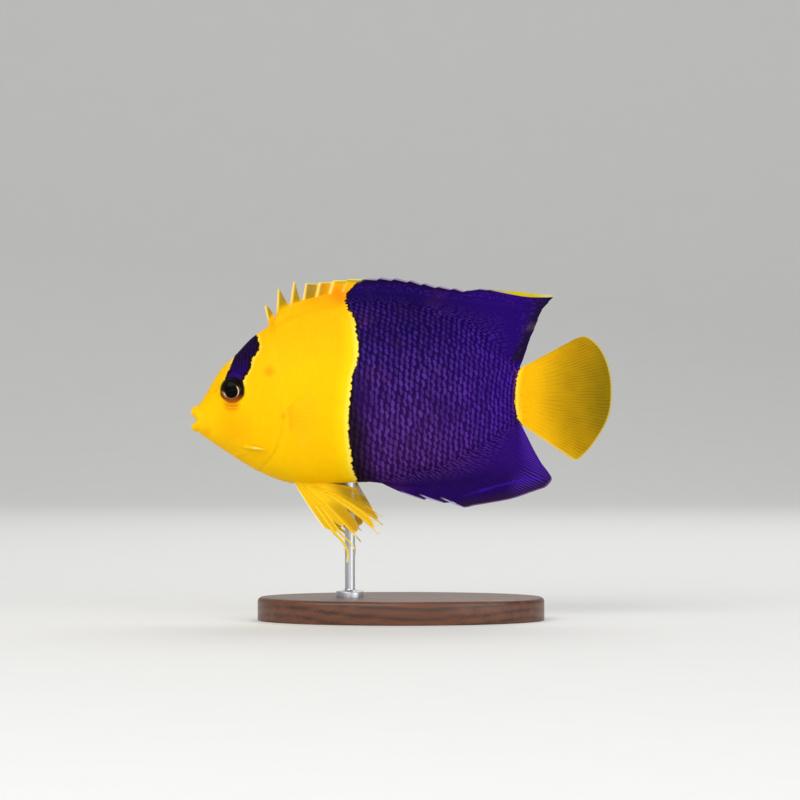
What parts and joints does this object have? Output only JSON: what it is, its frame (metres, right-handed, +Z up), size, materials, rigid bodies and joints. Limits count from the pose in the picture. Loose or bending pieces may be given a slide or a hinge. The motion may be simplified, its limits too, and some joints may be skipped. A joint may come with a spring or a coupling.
{
  "type": "angelfish display model",
  "caption": "Life-size bicolor angelfish, yellow in front and deep violet behind with a yellow tail, its fins raised, held by a rod above an oval wooden base.",
  "frame": {"origin": "middle of the base's underside, which is also the middle of the fish's length", "axes": "-X towards the fish's mouth, +X towards its tail, -Y towards its left flank, +Z up"},
  "size_m": [0.1265, 0.052, 0.1028],
  "materials": {
    "yellow_skin": "satin scaled skin",
    "violet_skin": "satin scaled skin",
    "violet_fin": "satin ribbed fin",
    "yellow_fin": "satin ribbed fin",
    "eye": "polished",
    "stand_wood": "satin varnish",
    "stand_steel": "brushed"
  },
  "bodies": {
    "root": {"head": "yellow_skin", "left_gill_cover": "yellow_skin", "right_gill_cover": "yellow_skin", "left_eye": "eye", "right_eye": "eye", "trunk": "violet_skin", "tail_stem": "violet_skin", "dorsal_fin": "violet_fin", "anal_fin": "violet_fin", "tail_fin": "yellow_fin", "left_pelvic_fin": "yellow_fin", "right_pelvic_fin": "yellow_fin", "left_pectoral_fin": "yellow_fin", "right_pectoral_fin": "yellow_fin", "stand_base": "stand_wood", "stand_rod": "stand_steel"}
  },
  "joints": []
}
